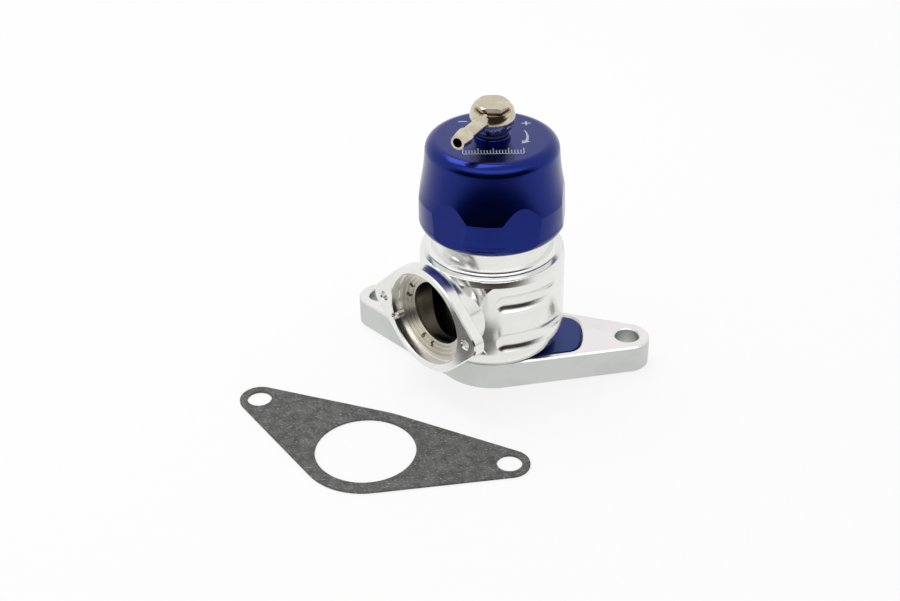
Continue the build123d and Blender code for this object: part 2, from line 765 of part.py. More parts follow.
nodes = {
    "base_flange": base_flange(),
    "retaining_plate_right": retaining_plate(1),
    "retaining_plate_left": retaining_plate(-1),
    "plate_screws": plate_screws(),
    "valve_body": valve_body(),
    "base_o_ring": base_o_ring(),
    "outlet_ring": outlet_ring(),
    "outlet_ring_pin": outlet_ring_pin(),
    "cap_o_ring": cap_o_ring(),
    "piston": piston(),
    "piston_rings": piston_rings(),
    "valve_seal": valve_seal(),
    "seal_retainer": seal_retainer(),
    "seal_screw": seal_screw(),
    "main_spring": main_spring(),
    "spring_seat": spring_seat(),
    "thrust_washer": thrust_washer(),
    "cap": cap(),
    "banjo_bolt": banjo_bolt(),
    "banjo_washer_lower": banjo_washer_lower(),
    "banjo_fitting": banjo_fitting(),
    "banjo_washer_upper": banjo_washer_upper(),
    "flange_gasket": flange_gasket(),
}

for name, shape in nodes.items():
    export_step(shape, f"parts/{name}.step")
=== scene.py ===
# %% [markdown]
# # A blow-off valve, dressed for its portrait
# The valve's pieces come from the imported model at their real size, in metres, and none of them is
# moved here. What this lesson adds is the camera, the soft studio around the valve, the finish of
# every surface, the few marks that are etched into the cap, and a main spring drawn as a coil of wire.

# %% Load the frame
import bpy
import bmesh
from math import cos, pi, radians, sin
from mathutils import Matrix, Vector


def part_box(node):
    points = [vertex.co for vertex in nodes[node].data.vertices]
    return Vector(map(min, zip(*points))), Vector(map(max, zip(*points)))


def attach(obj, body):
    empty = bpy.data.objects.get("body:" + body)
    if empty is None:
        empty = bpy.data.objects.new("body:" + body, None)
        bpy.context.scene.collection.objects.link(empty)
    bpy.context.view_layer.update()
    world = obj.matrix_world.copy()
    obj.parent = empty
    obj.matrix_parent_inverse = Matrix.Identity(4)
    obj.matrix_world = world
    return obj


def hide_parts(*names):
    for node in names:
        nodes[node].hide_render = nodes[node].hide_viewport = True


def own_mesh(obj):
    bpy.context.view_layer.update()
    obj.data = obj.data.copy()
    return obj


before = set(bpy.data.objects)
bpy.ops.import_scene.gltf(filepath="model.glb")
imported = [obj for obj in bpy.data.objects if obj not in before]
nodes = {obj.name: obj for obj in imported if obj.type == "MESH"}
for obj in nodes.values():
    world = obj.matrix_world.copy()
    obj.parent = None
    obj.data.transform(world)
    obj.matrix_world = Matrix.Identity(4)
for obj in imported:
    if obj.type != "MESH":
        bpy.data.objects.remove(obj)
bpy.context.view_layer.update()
mm = 0.001

# %% [markdown]
# ## The camera
# The photograph looks down on the valve from in front, a little from its right. A product lens
# stands far enough away to keep the valve's sides nearly upright, so the camera is set half a
# metre off with a long lens. Its place is given as two angles and a distance from a point that it
# looks at, which is how a photographer would describe it.

# %% Set the camera
camera_azimuth = radians(18.40)
camera_elevation = radians(32.912)
camera_distance = 539.011 * mm
camera_target = Vector((-15.752, 0.0, 21.187)) * mm
camera_roll = -0.015918
photo_width = 900
focal_pixels = 1497.78
sensor_width = 36.0

backward = Vector((sin(camera_azimuth) * cos(camera_elevation), -cos(camera_azimuth) * cos(camera_elevation),
                   sin(camera_elevation)))
level_right = (-backward).cross(Vector((0, 0, 1))).normalized()
level_up = level_right.cross(-backward)
right = cos(camera_roll) * level_right + sin(camera_roll) * level_up
up = -sin(camera_roll) * level_right + cos(camera_roll) * level_up

camera_data = bpy.data.cameras.new("camera")
camera_data.sensor_width = sensor_width
camera_data.lens = sensor_width * focal_pixels / photo_width
camera_data.clip_start = 0.01
camera = bpy.data.objects.new("camera", camera_data)
turned_axes = Matrix((right, up, backward)).transposed().to_4x4()
camera.matrix_world = Matrix.Translation(camera_target + backward * camera_distance) @ turned_axes
bpy.context.scene.collection.objects.link(camera)
bpy.context.scene.camera = camera
bpy.context.scene.view_settings.view_transform = "Standard"
print("camera lens", round(camera_data.lens, 2), "mm")

# %% [markdown]
# ## Small helpers for materials
# A material is a little network of nodes. These helpers keep each network short to write: one
# makes a node, sets its inputs and joins whatever is handed to it, and another starts a material
# with its Principled shader. Numbers that are the same all over a surface are set on the shader's
# own sockets.

# %% Helpers for node networks
def add_node(tree, kind, settings=None, **inputs):
    """Makes a node, sets its properties and fills or joins its inputs, named with _ for a space."""
    node = tree.nodes.new(kind)
    for name, value in (settings or {}).items():
        setattr(node, name, value)
    for name, value in inputs.items():
        key = int(name[2:]) if name.startswith("in") and name[2:].isdigit() else name.replace("_", " ")
        fill(tree, node.inputs[key], value)
    return node


def fill(tree, socket, value):
    """Joins an output to a socket, or sets the socket's own value."""
    if isinstance(value, bpy.types.NodeSocket):
        tree.links.new(value, socket)
    else:
        socket.default_value = value


def maths(tree, operation, *values, clamp=False):
    """One math node, and its output."""
    inputs = {f"in{i}": value for i, value in enumerate(values)}
    return add_node(tree, "ShaderNodeMath", {"operation": operation, "use_clamp": clamp}, **inputs).outputs[0]


def smooth(tree, value, low, high, start=0.0, end=1.0):
    """A soft step from start to end while value goes from low to high."""
    node = add_node(tree, "ShaderNodeMapRange", {"interpolation_type": "SMOOTHSTEP"}, Value=value)
    for name, number in (("From Min", low), ("From Max", high), ("To Min", start), ("To Max", end)):
        fill(tree, node.inputs[name], number)
    return node.outputs["Result"]


def blend_colours(tree, factor, first, second):
    """Mixes two colours by a factor."""
    node = add_node(tree, "ShaderNodeMix", {"data_type": "RGBA"})
    fill(tree, node.inputs[0], factor)
    fill(tree, node.inputs[6], first)
    fill(tree, node.inputs[7], second)
    return node.outputs[2]


def linear(red, green, blue):
    """A colour given as 0 to 255, as a screen shows it, for a shader's socket."""
    def channel(value):
        value /= 255
        return value / 12.92 if value <= 0.04045 else ((value + 0.055) / 1.055) ** 2.4
    return (channel(red), channel(green), channel(blue), 1.0)


def new_material(name, **inputs):
    """A material with a Principled shader; its plain numbers go straight on the shader's sockets."""
    material = bpy.data.materials.new(name)
    material.use_nodes = True
    tree = material.node_tree
    shader = tree.nodes["Principled BSDF"]
    for key, value in inputs.items():
        fill(tree, shader.inputs[key.replace("_", " ")], value)
    return material, tree, shader


def place_coordinates(tree, centre=(0, 0, 0), turn=(0, 0, 0)):
    """Object coordinates, moved and turned so that a pattern has its own axis as Z."""
    source = add_node(tree, "ShaderNodeTexCoord").outputs["Object"]
    if not any(centre) and not any(turn):
        return source
    moved = add_node(tree, "ShaderNodeMapping", {"vector_type": "TEXTURE"}, Vector=source,
                     Location=centre, Rotation=turn)
    return moved.outputs[0]


# %% [markdown]
# ## Effects that several finishes share
# A lathe leaves fine rings round a piece's axis, a milling cutter leaves a tight even grain, and
# hands and air leave faint cloudy patches. Each effect is a node group with named sockets, built
# once. It puts out a height for a bump and a value for colour or roughness, and each material
# sets how fine and how strong it is.

# %% Build the shared groups
def new_group(name, inputs, outputs):
    """An empty shader group with its named sockets."""
    group = bpy.data.node_groups.new(name, "ShaderNodeTree")
    for socket, kind, value in inputs:
        made = group.interface.new_socket(socket, in_out="INPUT", socket_type=kind)
        if value is not None:
            made.default_value = value
    for socket, kind in outputs:
        group.interface.new_socket(socket, in_out="OUTPUT", socket_type=kind)
    return group, group.nodes.new("NodeGroupInput"), group.nodes.new("NodeGroupOutput")


def build_turned_rings():
    """Fine rings round Z: noise that depends only on the distance from the axis and the height."""
    group, source, result = new_group(
        "turned rings",
        [("Vector", "NodeSocketVector", None), ("Rings per metre", "NodeSocketFloat", 4000.0)],
        [("Height", "NodeSocketFloat"), ("Shade", "NodeSocketFloat")])
    parts = add_node(group, "ShaderNodeSeparateXYZ", Vector=source.outputs["Vector"])
    flat = add_node(group, "ShaderNodeCombineXYZ", X=parts.outputs["X"], Y=parts.outputs["Y"])
    radius = add_node(group, "ShaderNodeVectorMath", {"operation": "LENGTH"}, in0=flat.outputs[0])
    profile = add_node(group, "ShaderNodeCombineXYZ", X=radius.outputs["Value"], Y=parts.outputs["Z"])
    fine = add_node(group, "ShaderNodeTexNoise", {"noise_dimensions": "2D"}, Vector=profile.outputs[0],
                    Scale=source.outputs["Rings per metre"], Detail=3.0, Roughness=0.6)
    broad = add_node(group, "ShaderNodeTexNoise", {"noise_dimensions": "2D"}, Vector=profile.outputs[0],
                     Scale=maths(group, "MULTIPLY", source.outputs["Rings per metre"], 0.08), Detail=2.0)
    fill(group, result.inputs["Height"], fine.outputs[0])
    fill(group, result.inputs["Shade"], maths(group, "MULTIPLY_ADD", broad.outputs[0], 0.5,
                                              maths(group, "MULTIPLY", fine.outputs[0], 0.5)))
    return group


def build_even_grain():
    """A tight grain with no direction, and a cloudy patchiness on a much larger scale."""
    group, source, result = new_group(
        "even grain",
        [("Vector", "NodeSocketVector", None), ("Grains per metre", "NodeSocketFloat", 6000.0),
         ("Clouds per metre", "NodeSocketFloat", 60.0)],
        [("Height", "NodeSocketFloat"), ("Clouds", "NodeSocketFloat")])
    grain = add_node(group, "ShaderNodeTexNoise", Vector=source.outputs["Vector"],
                     Scale=source.outputs["Grains per metre"], Detail=2.0)
    clouds = add_node(group, "ShaderNodeTexNoise", Vector=source.outputs["Vector"],
                      Scale=source.outputs["Clouds per metre"], Detail=3.0, Roughness=0.55)
    fill(group, result.inputs["Height"], grain.outputs[0])
    fill(group, result.inputs["Clouds"], clouds.outputs[0])
    return group


turned_rings = build_turned_rings()
even_grain = build_even_grain()


def use_group(tree, group, **inputs):
    """Places a shared group in a material."""
    node = add_node(tree, "ShaderNodeGroup", {"node_tree": group})
    for name, value in inputs.items():
        fill(tree, node.inputs[name.replace("_", " ")], value)
    return node


def bump(tree, height, strength, distance):
    """A bump from a height, in metres."""
    return add_node(tree, "ShaderNodeBump", Height=height, Strength=strength, Distance=distance).outputs[0]


print("groups:", turned_rings.name, "and", even_grain.name)

# %% [markdown]
# ## Polished and satin aluminium
# The body was turned and then polished, so it mirrors the room softly and only very fine rings
# remain. The base flange is milled: its top is nearly mirror-like and its side keeps a satin
# grain, so its roughness is chosen by which way the surface faces. Its colour is chosen the same
# way: a painted reflection makes the top lighter and faintly pink, and painted shade makes the side
# darker. The stepped ring in the outlet keeps deep turning rings, which break its reflections.

# %% Aluminium finishes
def polished_aluminium():
    material, tree, shader = new_material("polished aluminium", Metallic=1.0)
    place = place_coordinates(tree)
    rings = use_group(tree, turned_rings, Vector=place, Rings_per_metre=2600.0)
    grain = use_group(tree, even_grain, Vector=place, Grains_per_metre=5200.0, Clouds_per_metre=75.0)
    shade = maths(tree, "MULTIPLY_ADD", rings.outputs["Shade"], 0.5,
                  maths(tree, "MULTIPLY", grain.outputs["Clouds"], 0.5))
    fill(tree, shader.inputs["Base Color"], blend_colours(tree, smooth(tree, shade, 0.35, 0.65),
                                                          linear(233, 233, 229), linear(243, 243, 240)))
    fill(tree, shader.inputs["Roughness"], smooth(tree, shade, 0.3, 0.7, 0.13, 0.21))
    fill(tree, shader.inputs["Normal"], bump(tree, rings.outputs["Height"], 0.12, 0.00002))
    return material


def flange_aluminium():
    material, tree, shader = new_material("flange aluminium", Metallic=1.0)
    place = place_coordinates(tree)
    grain = use_group(tree, even_grain, Vector=place, Grains_per_metre=3800.0, Clouds_per_metre=55.0)
    normal = add_node(tree, "ShaderNodeNewGeometry").outputs["True Normal"]
    upward = add_node(tree, "ShaderNodeSeparateXYZ", Vector=normal).outputs["Z"]
    level = smooth(tree, upward, 0.4, 0.9)
    # The top is painted lighter and faintly pink and the side darker grey: a painted reflection on the top
    # and painted shade on the side, picked by which way the surface faces.
    painted_bright_top = blend_colours(tree, smooth(tree, grain.outputs["Clouds"], 0.4, 0.6),
                         linear(236, 232, 233), linear(242, 238, 239))
    painted_shaded_side = blend_colours(tree, smooth(tree, grain.outputs["Clouds"], 0.4, 0.6),
                         linear(199, 202, 198), linear(207, 210, 207))
    fill(tree, shader.inputs["Base Color"], blend_colours(tree, level, painted_shaded_side, painted_bright_top))
    fill(tree, shader.inputs["Roughness"], smooth(tree, level, 0.0, 1.0, 0.34, 0.2))
    fill(tree, shader.inputs["Normal"], bump(tree, grain.outputs["Height"], 0.1, 0.00002))
    return material


def steel(name, colour, roughness, rings_per_metre=5000.0, centre=(0, 0, 0), turn=(0, 0, 0), depth=0.25):
    """Turned steel with visible rings round its own axis."""
    material, tree, shader = new_material(name, Metallic=1.0)
    place = place_coordinates(tree, centre, turn)
    rings = use_group(tree, turned_rings, Vector=place, Rings_per_metre=rings_per_metre)
    light = tuple(min(1.0, channel * 1.15) for channel in colour[:3]) + (1.0,)
    fill(tree, shader.inputs["Base Color"], blend_colours(tree, rings.outputs["Shade"], colour, light))
    fill(tree, shader.inputs["Roughness"],
         smooth(tree, rings.outputs["Shade"], 0.3, 0.7, roughness, roughness + 0.1))
    fill(tree, shader.inputs["Normal"], bump(tree, rings.outputs["Height"], depth, 0.00003))
    return material


outlet_angle = radians(-119.5)
outlet_z = 30.82 * mm
finish = {
    "valve_body": polished_aluminium(),
    "base_flange": flange_aluminium(),
    "outlet_ring": steel("turned ring", linear(204, 200, 190), 0.24, 2400.0, (0, 0, outlet_z),
                         (0, pi / 2, outlet_angle), 0.9),
    "screws": steel("screw steel", linear(120, 120, 122), 0.32),
    "spring": steel("spring wire", linear(120, 121, 124), 0.3, 900.0),
    "piston": steel("hard anodised piston", linear(92, 86, 74), 0.4, 3000.0),
}
print("metals:", sorted(material.name for material in finish.values()))

# %% [markdown]
# ## Blue anodising
# Anodising dyes the aluminium's own oxide skin. The metal under it still mirrors, but tinted, and
# the clear skin on top adds a thin white reflection. So the colour is metallic, with a light
# clear coat over it, and the satin of the blasted metal shows as a very fine grain.

# %% Anodised finishes
def anodised(name, colour, deep, roughness, rings_per_metre, grain_strength):
    material, tree, shader = new_material(name, Metallic=1.0, Coat_Weight=0.3, Coat_Roughness=0.12,
                                          Coat_IOR=1.5)
    place = place_coordinates(tree)
    grain = use_group(tree, even_grain, Vector=place, Grains_per_metre=5000.0, Clouds_per_metre=70.0)
    rings = use_group(tree, turned_rings, Vector=place, Rings_per_metre=rings_per_metre)
    shade = maths(tree, "MULTIPLY_ADD", rings.outputs["Shade"], 0.6,
                  maths(tree, "MULTIPLY", grain.outputs["Clouds"], 0.4))
    fill(tree, shader.inputs["Base Color"], blend_colours(tree, smooth(tree, shade, 0.3, 0.7), deep, colour))
    fill(tree, shader.inputs["Roughness"], smooth(tree, shade, 0.3, 0.7, roughness, roughness + 0.06))
    height = maths(tree, "ADD", rings.outputs["Height"], grain.outputs["Height"])
    fill(tree, shader.inputs["Normal"], bump(tree, height, grain_strength, 0.00002))
    return material


finish["cap"] = anodised("cap anodising", linear(8, 34, 122), linear(6, 28, 110), 0.22, 2600.0, 0.12)
finish["plates"] = anodised("plate anodising", linear(30, 52, 114), linear(27, 47, 106), 0.3, 1800.0, 0.1)
print("anodised:", finish["cap"].name, "and", finish["plates"].name)

# %% [markdown]
# ## Nickel, rubber, fibre and plastic
# The hose union is plated with nickel, which is a warmer mirror than steel. The rest is dull:
# sealing washers and rubber rings, and the gasket, which is pressed from fibres and so shows a
# mottled grey with fine light flecks.

# %% The other finishes
def nickel():
    material, tree, shader = new_material("nickel plating", Metallic=1.0)
    grain = use_group(tree, even_grain, Vector=place_coordinates(tree), Grains_per_metre=2500.0,
                      Clouds_per_metre=300.0)
    patches = smooth(tree, grain.outputs["Clouds"], 0.35, 0.65)
    fill(tree, shader.inputs["Base Color"],
         blend_colours(tree, patches, linear(200, 190, 168), linear(216, 207, 188)))
    fill(tree, shader.inputs["Roughness"], smooth(tree, grain.outputs["Clouds"], 0.3, 0.7, 0.1, 0.18))
    fill(tree, shader.inputs["Normal"], bump(tree, grain.outputs["Height"], 0.1, 0.00003))
    return material


def dull(name, colour, light, roughness, grains_per_metre, depth):
    """Rubber, plastic or a bonded washer: no metal, a fine grain and faint clouds."""
    material, tree, shader = new_material(name, Metallic=0.0, Specular_IOR_Level=0.4)
    grain = use_group(tree, even_grain, Vector=place_coordinates(tree), Grains_per_metre=grains_per_metre,
                      Clouds_per_metre=140.0)
    fill(tree, shader.inputs["Base Color"], blend_colours(tree, grain.outputs["Clouds"], colour, light))
    fill(tree, shader.inputs["Roughness"],
         smooth(tree, grain.outputs["Clouds"], 0.3, 0.7, roughness, roughness + 0.1))
    fill(tree, shader.inputs["Normal"], bump(tree, grain.outputs["Height"], depth, 0.00005))
    return material


def gasket_fibre():
    material, tree, shader = new_material("gasket fibre", Metallic=0.0, Specular_IOR_Level=0.25)
    place = place_coordinates(tree)
    grain = use_group(tree, even_grain, Vector=place, Grains_per_metre=1400.0, Clouds_per_metre=260.0)
    fibre_way = add_node(tree, "ShaderNodeMapping", Vector=place, Scale=(1.0, 2.6, 1.0),
                         Rotation=(0, 0, 0.5)).outputs[0]
    flecks = add_node(tree, "ShaderNodeTexNoise", Vector=fibre_way, Scale=900.0, Detail=2.0).outputs[0]
    mottled = blend_colours(tree, smooth(tree, grain.outputs["Clouds"], 0.32, 0.68),
                            linear(80, 80, 78), linear(104, 104, 102))
    speckled = blend_colours(tree, smooth(tree, flecks, 0.56, 0.72), mottled, linear(146, 146, 144))
    # Where the grain's height is low the colour is painted darker: painted shade in the fibre's pits.
    painted_pit_shade = smooth(tree, grain.outputs["Height"], 0.5, 0.3, 0.0, 0.5)
    fill(tree, shader.inputs["Base Color"], blend_colours(tree, painted_pit_shade, speckled, linear(62, 62, 60)))
    fill(tree, shader.inputs["Roughness"], smooth(tree, flecks, 0.3, 0.7, 0.72, 0.9))
    fill(tree, shader.inputs["Normal"], bump(tree, grain.outputs["Height"], 0.5, 0.0001))
    return material


finish["union"] = nickel()
finish["washer"] = dull("bonded washer", linear(58, 57, 56), linear(72, 71, 70), 0.45, 3000.0, 0.2)
finish["rubber"] = dull("rubber", linear(30, 30, 30), linear(40, 40, 40), 0.6, 3500.0, 0.25)
finish["plastic"] = dull("low friction plastic", linear(222, 219, 212), linear(232, 229, 222),
                         0.4, 3000.0, 0.1)
finish["gasket"] = gasket_fibre()
finish["etching"] = dull("etched mark", linear(158, 166, 186), linear(186, 192, 208), 0.35, 6000.0, 0.1)

piece_finish = {
    "base_flange": "base_flange", "retaining_plate_right": "plates", "retaining_plate_left": "plates",
    "plate_screws": "screws", "valve_body": "valve_body", "base_o_ring": "rubber",
    "outlet_ring": "outlet_ring", "outlet_ring_pin": "outlet_ring", "cap_o_ring": "rubber",
    "piston": "piston", "piston_rings": "plastic",
    "valve_seal": "rubber", "seal_retainer": "piston", "seal_screw": "screws", "main_spring": "spring",
    "spring_seat": "piston", "thrust_washer": "plastic", "cap": "cap", "banjo_bolt": "union",
    "banjo_washer_lower": "washer", "banjo_fitting": "union", "banjo_washer_upper": "washer",
    "flange_gasket": "gasket",
}
for name, key in piece_finish.items():
    nodes[name].data.materials.clear()
    nodes[name].data.materials.append(finish[key])
print("finished pieces:", len(piece_finish), "of", len(nodes))

# %% [markdown]
# ## Marks etched into the cap
# The cap's top carries a bowed arrow that says which way to turn it, a plus and a minus sign, and
# a plain graduated scale. They are etched flat, so each is a film a few hundredths of a millimetre
# thick that lies on the top. The scale repeats one tick, so a Geometry Nodes tree sets out the
# row; the arrow and the signs have outlines of their own.

# %% The row of ticks
etch_thickness = 0.03 * mm
boss_and_stem = 2.0 * mm
cap_top_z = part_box("cap")[1].z - boss_and_stem
scale_distance = 11.9 * mm
scale_direction = radians(-71.6)
scale_length = 20.0 * mm
tick_count = 21
tick_height = 2.2 * mm
tick_width = 0.3 * mm
long_tick_every = 5.0
long_tick_extra = 0.6
base_line_drop = 1.2


def build_tick_row():
    """A Geometry Nodes tree: a row of upright ticks along X, every fifth one longer, over a base line."""
    tree = bpy.data.node_groups.new("tick row", "GeometryNodeTree")
    for name, value in (("Length", scale_length), ("Tick height", tick_height), ("Tick width", tick_width),
                        ("Thickness", etch_thickness)):
        tree.interface.new_socket(name, in_out="INPUT", socket_type="NodeSocketFloat").default_value = value
    tree.interface.new_socket("Count", in_out="INPUT", socket_type="NodeSocketInt").default_value = tick_count
    tree.interface.new_socket("Material", in_out="INPUT", socket_type="NodeSocketMaterial")
    tree.interface.new_socket("Geometry", in_out="OUTPUT", socket_type="NodeSocketGeometry")
    source = tree.nodes.new("NodeGroupInput")
    result = tree.nodes.new("NodeGroupOutput")
    half = maths(tree, "MULTIPLY", source.outputs["Length"], 0.5)
    start = add_node(tree, "ShaderNodeCombineXYZ", X=maths(tree, "MULTIPLY", half, -1.0)).outputs[0]
    end = add_node(tree, "ShaderNodeCombineXYZ", X=half).outputs[0]
    line = add_node(tree, "GeometryNodeMeshLine", {"mode": "END_POINTS", "count_mode": "TOTAL"},
                    Count=source.outputs["Count"], Start_Location=start, Offset=end)
    size = add_node(tree, "ShaderNodeCombineXYZ", X=source.outputs["Tick width"],
                    Y=source.outputs["Tick height"], Z=source.outputs["Thickness"]).outputs[0]
    tick = add_node(tree, "GeometryNodeMeshCube", Size=size)
    half_height = maths(tree, "MULTIPLY", source.outputs["Tick height"], 0.5)
    half_thickness = maths(tree, "MULTIPLY", source.outputs["Thickness"], 0.5)
    lift = add_node(tree, "ShaderNodeCombineXYZ", Y=half_height, Z=half_thickness).outputs[0]
    tick = add_node(tree, "GeometryNodeTransform", Geometry=tick.outputs[0], Translation=lift)
    index = add_node(tree, "GeometryNodeInputIndex").outputs[0]
    long_tick = maths(tree, "COMPARE", maths(tree, "MODULO", index, long_tick_every), 0.0, 0.1)
    tick_stretch = maths(tree, "MULTIPLY_ADD", long_tick, long_tick_extra, 1.0)
    stretch = add_node(tree, "ShaderNodeCombineXYZ", X=1.0, Y=tick_stretch, Z=1.0)
    row = add_node(tree, "GeometryNodeInstanceOnPoints", Points=line.outputs[0], Instance=tick.outputs[0],
                   Scale=stretch.outputs[0])
    base = add_node(tree, "ShaderNodeCombineXYZ", X=source.outputs["Length"], Y=source.outputs["Tick width"],
                    Z=source.outputs["Thickness"]).outputs[0]
    bar = add_node(tree, "GeometryNodeMeshCube", Size=base)
    below = maths(tree, "MULTIPLY", source.outputs["Tick width"], -base_line_drop)
    drop = add_node(tree, "ShaderNodeCombineXYZ", Y=below, Z=half_thickness).outputs[0]
    bar = add_node(tree, "GeometryNodeTransform", Geometry=bar.outputs[0], Translation=drop)
    both = tree.nodes.new("GeometryNodeJoinGeometry")
    tree.links.new(row.outputs[0], both.inputs[0])
    tree.links.new(bar.outputs[0], both.inputs[0])
    solid = add_node(tree, "GeometryNodeRealizeInstances", Geometry=both.outputs[0])
    painted = add_node(tree, "GeometryNodeSetMaterial", Geometry=solid.outputs[0],
                       Material=source.outputs["Material"])
    tree.links.new(painted.outputs[0], result.inputs[0])
    return tree


def grown_by(tree, name, settings):
    """Runs a Geometry Nodes tree on an empty mesh and returns its result as a plain mesh."""
    holder = bpy.data.objects.new(name + "_source", bpy.data.meshes.new(name + "_source"))
    bpy.context.scene.collection.objects.link(holder)
    modifier = holder.modifiers.new("nodes", "NODES")
    modifier.node_group = tree
    for item in tree.interface.items_tree:
        if item.in_out == "INPUT" and item.name in settings:
            modifier[item.identifier] = settings[item.name]
    evaluated = holder.evaluated_get(bpy.context.evaluated_depsgraph_get())
    mesh = bpy.data.meshes.new_from_object(evaluated)
    mesh.name = name
    holder.modifiers.remove(modifier)
    bpy.data.objects.remove(holder)
    return mesh


def etched(name, mesh):
    """Puts a mark on the cap: it rides with the cap and takes its finish."""
    mesh.materials.clear()
    mesh.materials.append(finish["etching"])
    mark = bpy.data.objects.new(name, mesh)
    bpy.context.scene.collection.objects.link(mark)
    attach(mark, "cap")
    return mark


scale_mesh = grown_by(build_tick_row(), "cap_scale", {"Material": finish["etching"]})
centre = Vector((cos(scale_direction), sin(scale_direction), 0)) * scale_distance + Vector((0, 0, cap_top_z))
scale_mesh.transform(Matrix.Translation(centre) @ Matrix.Rotation(scale_direction + pi / 2, 4, "Z"))
cap_scale = etched("cap_scale", scale_mesh)
print("scale:", tick_count, "ticks over", round(scale_length / mm, 1), "mm")

# %% The arrow and the signs
arrow_radius = 11.7 * mm
arrow_width = 1.0 * mm
arrow_start = radians(40)
arrow_end = radians(1)
arrow_head_angle = radians(-11)
arrow_head_width = 3.0 * mm
arrow_steps = 16


def film(name, outline):
    """A flat closed outline on the cap's top, given the etching's thickness."""
    shape = bmesh.new()
    low = [shape.verts.new((x, y, cap_top_z)) for x, y in outline]
    face = shape.faces.new(low)
    raised = bmesh.ops.extrude_face_region(shape, geom=[face])
    top = [item for item in raised["geom"] if isinstance(item, bmesh.types.BMVert)]
    bmesh.ops.translate(shape, verts=top, vec=(0, 0, etch_thickness))
    bmesh.ops.recalc_face_normals(shape, faces=shape.faces)
    mesh = bpy.data.meshes.new(name)
    shape.to_mesh(mesh)
    shape.free()
    return mesh


def on_circle(radius, angle):
    return radius * cos(angle), radius * sin(angle)


def arrow_outline():
    """A bowed shaft that widens towards its head."""
    turns = [arrow_start + (arrow_end - arrow_start) * i / arrow_steps for i in range(arrow_steps + 1)]
    widths = [arrow_width * (0.35 + 0.65 * i / arrow_steps) for i in range(arrow_steps + 1)]
    outer = [on_circle(arrow_radius + w / 2, a) for a, w in zip(turns, widths)]
    inner = [on_circle(arrow_radius - w / 2, a) for a, w in zip(turns, widths)]
    head = [on_circle(arrow_radius + arrow_head_width / 2, arrow_end),
            on_circle(arrow_radius - 0.25 * arrow_head_width, arrow_head_angle),
            on_circle(arrow_radius - arrow_head_width / 2, arrow_end)]
    return outer + head + inner[::-1]


def sign_outline(radius, angle, length, width, upright):
    """A plus sign, or a minus sign where upright is False, set square to the scale's direction."""
    centre_x, centre_y = on_circle(radius, angle)
    half = length / 2
    w = width / 2
    if upright:
        points = [(-half, -w), (-w, -w), (-w, -half), (w, -half), (w, -w), (half, -w),
                  (half, w), (w, w), (w, half), (-w, half), (-w, w), (-half, w)]
    else:
        points = [(-half, -w), (half, -w), (half, w), (-half, w)]
    turn = scale_direction + pi / 2
    return [(centre_x + x * cos(turn) - y * sin(turn), centre_y + x * sin(turn) + y * cos(turn))
            for x, y in points]


cap_arrow = etched("cap_arrow", film("cap_arrow", arrow_outline()))
sign_radius = 15.2 * mm
sign_length = 3.0 * mm
sign_width = 0.6 * mm
plus_angle = radians(58)
minus_angle = radians(148)
plus = sign_outline(sign_radius, plus_angle, sign_length, sign_width, True)
minus = sign_outline(sign_radius, minus_angle, sign_length, sign_width, False)
cap_plus = etched("cap_plus", film("cap_plus", plus))
cap_minus = etched("cap_minus", film("cap_minus", minus))
print("marks:", cap_scale.name, cap_arrow.name, cap_plus.name, cap_minus.name)

# %% [markdown]
# ## The main spring
# The spring stands on the piston's floor and its top stays at the seat, so it grows shorter while
# the piston lifts. A rigid coil can't show that: it would rise through the cap. The coil follows
# one simple rule, so a Geometry Nodes tree draws it as a wire swept along a spiral, and the piece
# is then attached to the piston as one rigid coil.

# %% The coil
wire_radius = 1.3 * mm
spring_turns = 8
points_per_turn = 48
wire_sides = 16
spring_low, spring_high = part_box("main_spring")
spring_height = spring_high.z - spring_low.z


def build_coil():
    """A Geometry Nodes tree: a round wire swept along an upright spiral."""
    tree = bpy.data.node_groups.new("coil", "GeometryNodeTree")
    mean_radius = (spring_high.x - spring_low.x) / 2 - wire_radius
    for name, value in (("Mean radius", mean_radius), ("Wire radius", wire_radius),
                        ("Height", spring_height - 2 * wire_radius), ("Turns", float(spring_turns))):
        tree.interface.new_socket(name, in_out="INPUT", socket_type="NodeSocketFloat").default_value = value
    tree.interface.new_socket("Material", in_out="INPUT", socket_type="NodeSocketMaterial")
    tree.interface.new_socket("Geometry", in_out="OUTPUT", socket_type="NodeSocketGeometry")
    source = tree.nodes.new("NodeGroupInput")
    result = tree.nodes.new("NodeGroupOutput")
    radius = source.outputs["Mean radius"]
    spiral = add_node(tree, "GeometryNodeCurveSpiral", Resolution=points_per_turn,
                      Rotations=source.outputs["Turns"], Start_Radius=radius, End_Radius=radius,
                      Height=source.outputs["Height"])
    section = add_node(tree, "GeometryNodeCurvePrimitiveCircle", Resolution=wire_sides,
                       Radius=source.outputs["Wire radius"])
    wire = add_node(tree, "GeometryNodeCurveToMesh", Curve=spiral.outputs[0],
                    Profile_Curve=section.outputs[0])
    fill(tree, wire.inputs["Fill Caps"], True)
    solid = add_node(tree, "GeometryNodeRealizeInstances", Geometry=wire.outputs[0])
    painted = add_node(tree, "GeometryNodeSetMaterial", Geometry=solid.outputs[0],
                       Material=source.outputs["Material"])
    tree.links.new(painted.outputs[0], result.inputs[0])
    return tree


coil_mesh = grown_by(build_coil(), "spring_coil", {"Material": finish["spring"]})
coil_mesh.transform(Matrix.Translation((0, 0, spring_low.z + wire_radius)))
coil_shape = bmesh.new()
coil_shape.from_mesh(coil_mesh)
bmesh.ops.recalc_face_normals(coil_shape, faces=coil_shape.faces)
coil_volume = coil_shape.calc_volume(signed=True) / mm ** 3
coil_shape.to_mesh(coil_mesh)
coil_shape.free()
coil_mesh.shade_smooth()
spring_coil = bpy.data.objects.new("spring_coil", coil_mesh)
bpy.context.scene.collection.objects.link(spring_coil)
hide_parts("main_spring")
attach(spring_coil, "piston")
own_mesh(spring_coil)
print("coil:", len(coil_mesh.polygons), "faces and", round(coil_volume), "cubic millimetres of wire")

